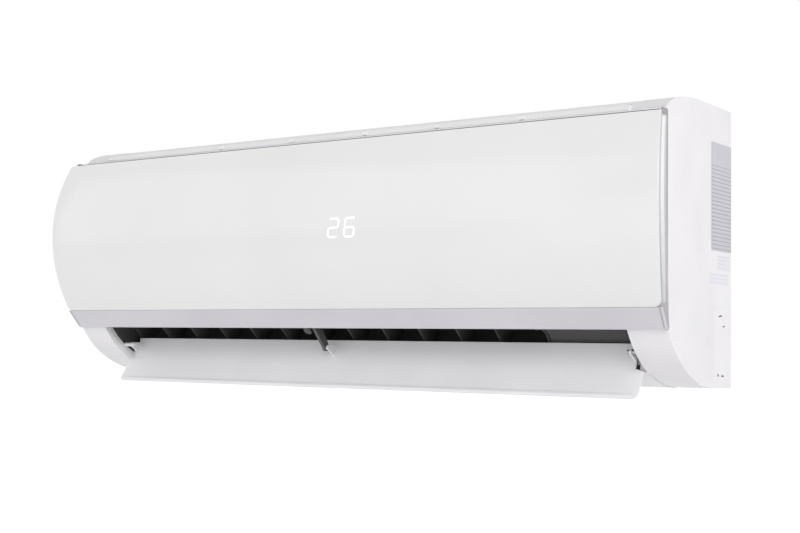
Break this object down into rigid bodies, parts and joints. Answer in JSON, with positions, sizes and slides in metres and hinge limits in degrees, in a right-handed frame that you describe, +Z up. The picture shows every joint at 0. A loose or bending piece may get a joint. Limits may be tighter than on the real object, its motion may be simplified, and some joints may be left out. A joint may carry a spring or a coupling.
{
  "type": "mini split indoor unit",
  "caption": "Wall-mounted split air conditioner indoor unit with a bowed gloss front panel, silver trim, open louver, vanes, crossflow fan, coil, filters and wall plate.",
  "frame": {"origin": "middle of the wall plate's back face, on the wall", "axes": "+X to the right as seen from the room, +Y into the wall, +Z up"},
  "size_m": [0.8672, 0.2125, 0.311],
  "materials": {
    "casing_white": "fine satin moulded white",
    "panel_white": "smooth glossy white with a faint warm-green grey cast",
    "trim_silver": "silver metallic paint, satin",
    "louver_white": "smooth satin white",
    "black_abs": "dark moulded plastic, fine grain",
    "grey_abs": "dark grey moulded plastic",
    "light_grey_abs": "light grey moulded plastic",
    "filter_mesh": "pale woven nylon mesh in a moulded frame",
    "zinc_sheet": "zinc-coated sheet with faint spangle",
    "shaft_steel": "ground steel",
    "fin_aluminium": "thin pressed fins with a pale blue coating",
    "copper_tube": "drawn copper tube",
    "nut_brass": "machined brass",
    "black_rubber": "soft black rubber",
    "sleeve_foam": "closed-cell foam sleeve",
    "board_green": "lacquered circuit board",
    "label_grey": "plain printed film, no text"
  },
  "bodies": {
    "frame": {"wall_plate": "zinc_sheet", "rear_chassis": "black_abs", "pipe_channel": "black_abs", "front_casing": "casing_white", "top_intake_grille": "casing_white", "trim_frame": "trim_silver", "filter_left": "filter_mesh", "filter_right": "filter_mesh", "coil_front_lower": "fin_aluminium", "coil_front_upper": "fin_aluminium", "coil_rear": "fin_aluminium", "coil_end_plate_left": "copper_tube", "coil_end_plate_right": "copper_tube", "drain_pan": "black_abs", "drain_outlet": "casing_white", "outlet_blank": "grey_abs", "liquid_pipe": "copper_tube", "gas_pipe": "copper_tube", "liquid_flare_nut": "nut_brass", "gas_flare_nut": "nut_brass", "gas_pipe_sleeve": "sleeve_foam", "shaft_bearing": "shaft_steel", "bearing_rubber": "black_rubber", "fan_motor": "zinc_sheet", "motor_clamp": "black_abs", "louver_pin_left": "casing_white", "louver_motor": "zinc_sheet", "louver_support": "grey_abs", "control_box": "casing_white", "control_box_cover": "zinc_sheet", "circuit_board": "board_green", "terminal_block": "light_grey_abs", "wiring_cover": "casing_white", "switch_board": "board_green", "knockout_cover": "casing_white", "side_label": "label_grey", "casing_screw_left": "zinc_sheet", "casing_screw_right": "zinc_sheet"},
    "panel": {"front_panel": "panel_white", "panel_backing": "casing_white", "display_module": "black_abs"},
    "fan_rotor": {"crossflow_fan": "black_abs", "fan_end_shaft": "shaft_steel", "motor_shaft": "shaft_steel"},
    "louver": {"louver": "louver_white", "louver_drive_shaft": "shaft_steel"},
    "vane_1": {"vane_1": "black_abs"},
    "vane_2": {"vane_2": "black_abs"},
    "vane_3": {"vane_3": "black_abs"},
    "vane_4": {"vane_4": "black_abs"},
    "vane_5": {"vane_5": "black_abs"},
    "vane_6": {"vane_6": "black_abs"},
    "vane_7": {"vane_7": "black_abs"},
    "vane_8": {"vane_8": "black_abs"},
    "vane_9": {"vane_9": "black_abs"},
    "vane_10": {"vane_10": "black_abs"},
    "vane_11": {"vane_11": "black_abs"},
    "link_left": {"vane_link_left": "black_abs"},
    "link_right": {"vane_link_right": "black_abs"},
    "button": {"emergency_button": "light_grey_abs"}
  },
  "joints": [
    {"name": "panel_hinge", "type": "hinge", "parent": "frame", "child": "panel", "pos_m": [0, -0.172, 0.122], "axis": [-1, 0, 0], "range_deg": [0, 60]},
    {"name": "fan_spin", "type": "hinge", "parent": "frame", "child": "fan_rotor", "pos_m": [0, -0.098, -0.017], "axis": [1, 0, 0], "continuous": true},
    {"name": "louver_tilt", "type": "hinge", "parent": "frame", "child": "louver", "pos_m": [0, -0.127, -0.113], "axis": [1, 0, 0], "range_deg": [-97, 15]},
    {"name": "vane_1_swing", "type": "hinge", "parent": "frame", "child": "vane_1", "pos_m": [-0.3175, -0.08843, -0.11306], "axis": [0, -0.7393, 0.6734], "range_deg": [-32, 32]},
    {"name": "vane_2_swing", "type": "hinge", "parent": "frame", "child": "vane_2", "pos_m": [-0.2661, -0.08843, -0.11306], "axis": [0, -0.7393, 0.6734], "range_deg": [-32, 32]},
    {"name": "vane_3_swing", "type": "hinge", "parent": "frame", "child": "vane_3", "pos_m": [-0.2147, -0.08843, -0.11306], "axis": [0, -0.7393, 0.6734], "range_deg": [-32, 32]},
    {"name": "vane_4_swing", "type": "hinge", "parent": "frame", "child": "vane_4", "pos_m": [-0.1633, -0.08843, -0.11306], "axis": [0, -0.7393, 0.6734], "range_deg": [-32, 32]},
    {"name": "vane_5_swing", "type": "hinge", "parent": "frame", "child": "vane_5", "pos_m": [-0.1119, -0.08843, -0.11306], "axis": [0, -0.7393, 0.6734], "range_deg": [-32, 32]},
    {"name": "vane_6_swing", "type": "hinge", "parent": "frame", "child": "vane_6", "pos_m": [-0.0605, -0.08843, -0.11306], "axis": [0, -0.7393, 0.6734], "range_deg": [-32, 32]},
    {"name": "vane_7_swing", "type": "hinge", "parent": "frame", "child": "vane_7", "pos_m": [-0.0091, -0.08843, -0.11306], "axis": [0, -0.7393, 0.6734], "range_deg": [-32, 32]},
    {"name": "vane_8_swing", "type": "hinge", "parent": "frame", "child": "vane_8", "pos_m": [0.0423, -0.08843, -0.11306], "axis": [0, -0.7393, 0.6734], "range_deg": [-32, 32]},
    {"name": "vane_9_swing", "type": "hinge", "parent": "frame", "child": "vane_9", "pos_m": [0.0937, -0.08843, -0.11306], "axis": [0, -0.7393, 0.6734], "range_deg": [-32, 32]},
    {"name": "vane_10_swing", "type": "hinge", "parent": "frame", "child": "vane_10", "pos_m": [0.1451, -0.08843, -0.11306], "axis": [0, -0.7393, 0.6734], "range_deg": [-32, 32]},
    {"name": "vane_11_swing", "type": "hinge", "parent": "frame", "child": "vane_11", "pos_m": [0.1965, -0.08843, -0.11306], "axis": [0, -0.7393, 0.6734], "range_deg": [-32, 32]},
    {"name": "link_left_slide", "type": "slide", "parent": "frame", "child": "link_left", "axis": [1, 0, 0], "range_m": [-0.005, 0.005]},
    {"name": "link_right_slide", "type": "slide", "parent": "frame", "child": "link_right", "axis": [1, 0, 0], "range_m": [-0.005, 0.005]},
    {"name": "button_press", "type": "slide", "parent": "frame", "child": "button", "axis": [0, 1, 0], "range_m": [0, 0.0012], "stiffness_N_per_m": 300, "springref_m": -0.001}
  ],
  "couplings": [
    {"joint": "vane_1_swing", "follows": "link_left_slide", "rad_per_m": -104.72},
    {"joint": "vane_2_swing", "follows": "link_left_slide", "rad_per_m": -104.72},
    {"joint": "vane_3_swing", "follows": "link_left_slide", "rad_per_m": -104.72},
    {"joint": "vane_4_swing", "follows": "link_left_slide", "rad_per_m": -104.72},
    {"joint": "vane_5_swing", "follows": "link_left_slide", "rad_per_m": -104.72},
    {"joint": "vane_6_swing", "follows": "link_left_slide", "rad_per_m": -104.72},
    {"joint": "vane_7_swing", "follows": "link_right_slide", "rad_per_m": -104.72},
    {"joint": "vane_8_swing", "follows": "link_right_slide", "rad_per_m": -104.72},
    {"joint": "vane_9_swing", "follows": "link_right_slide", "rad_per_m": -104.72},
    {"joint": "vane_10_swing", "follows": "link_right_slide", "rad_per_m": -104.72},
    {"joint": "vane_11_swing", "follows": "link_right_slide", "rad_per_m": -104.72}
  ]
}
